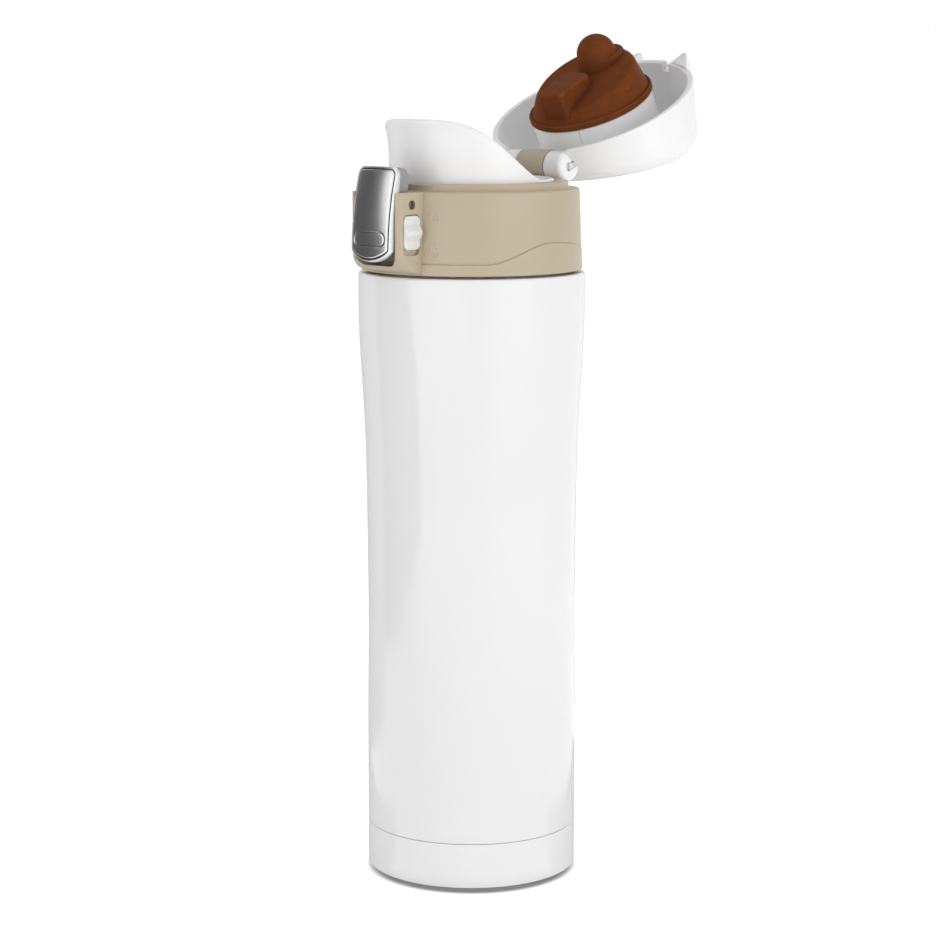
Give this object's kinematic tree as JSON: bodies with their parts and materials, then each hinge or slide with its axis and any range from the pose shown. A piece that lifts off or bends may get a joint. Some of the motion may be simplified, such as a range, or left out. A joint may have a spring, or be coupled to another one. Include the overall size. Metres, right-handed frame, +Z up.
{
  "type": "insulated travel mug",
  "caption": "Insulated travel mug: waisted double-walled bottle, screw-on collar with push latch and lock slider, raised spout and a spring-hinged flip lid with a stopper.",
  "frame": {"origin": "centre of the flat underside of the base cup", "axes": "+Z up along the bottle, -Y towards the push latch, +Y towards the lid's hinge"},
  "size_m": [0.0704, 0.1401, 0.2621],
  "materials": {
    "base_cup": "gloss enamel",
    "base_plate": "satin",
    "collar": "satin",
    "getter": "satin",
    "hinge_pin": "satin",
    "hinge_spring": "satin",
    "inner_vessel": "satin",
    "latch_cover": "satin",
    "latch_lever": "satin",
    "latch_pin": "satin",
    "latch_spring": "satin",
    "lid_inner": "gloss",
    "lid_shell": "gloss",
    "lock_slider": "gloss",
    "mouth_gasket": "matte",
    "outer_shell": "gloss enamel",
    "spout": "gloss",
    "stopper_seal": "satin",
    "thread_ring": "satin",
    "vacuum_seal_plug": "satin"
  },
  "bodies": {
    "bottle": {"outer_shell": "outer_shell", "inner_vessel": "inner_vessel", "base_plate": "base_plate", "vacuum_seal_plug": "vacuum_seal_plug", "getter": "getter", "base_cup": "base_cup"},
    "mouth_seal": {"mouth_gasket": "mouth_gasket"},
    "collar": {"collar": "collar", "thread_ring": "thread_ring", "spout": "spout", "hinge_pin": "hinge_pin", "hinge_spring": "hinge_spring", "latch_pin": "latch_pin", "latch_spring": "latch_spring"},
    "lid": {"lid_shell": "lid_shell", "lid_inner": "lid_inner", "stopper_seal": "stopper_seal"},
    "latch": {"latch_lever": "latch_lever", "latch_cover": "latch_cover"},
    "lock": {"lock_slider": "lock_slider"}
  },
  "joints": [
    {"name": "collar_lift", "type": "slide", "parent": "bottle", "child": "mouth_seal", "axis": [0, 0, 1], "range_m": [0, 0.0051]},
    {"name": "collar_turn", "type": "hinge", "parent": "mouth_seal", "child": "collar", "pos_m": [0, 0, 0.2], "axis": [0, 0, 1], "range_deg": [0, 450]},
    {"name": "lid_hinge", "type": "hinge", "parent": "collar", "child": "lid", "pos_m": [0, 0.0311, 0.2205], "axis": [-1, 0, 0], "range_deg": [-154.3, 0], "stiffness_Nm_per_rad": 0.012, "springref_deg": 11.46},
    {"name": "latch_press", "type": "hinge", "parent": "collar", "child": "latch", "pos_m": [0, -0.0366, 0.21105], "axis": [1, 0, 0], "range_deg": [0, 8], "stiffness_Nm_per_rad": 0.12, "springref_deg": -2.86},
    {"name": "lock_slide", "type": "slide", "parent": "collar", "child": "lock", "axis": [0, 0, 1], "range_m": [-0.0014, 0]}
  ],
  "couplings": [
    {"joint": "collar_lift", "follows": "collar_turn", "m_per_rad": 0.00063662}
  ]
}
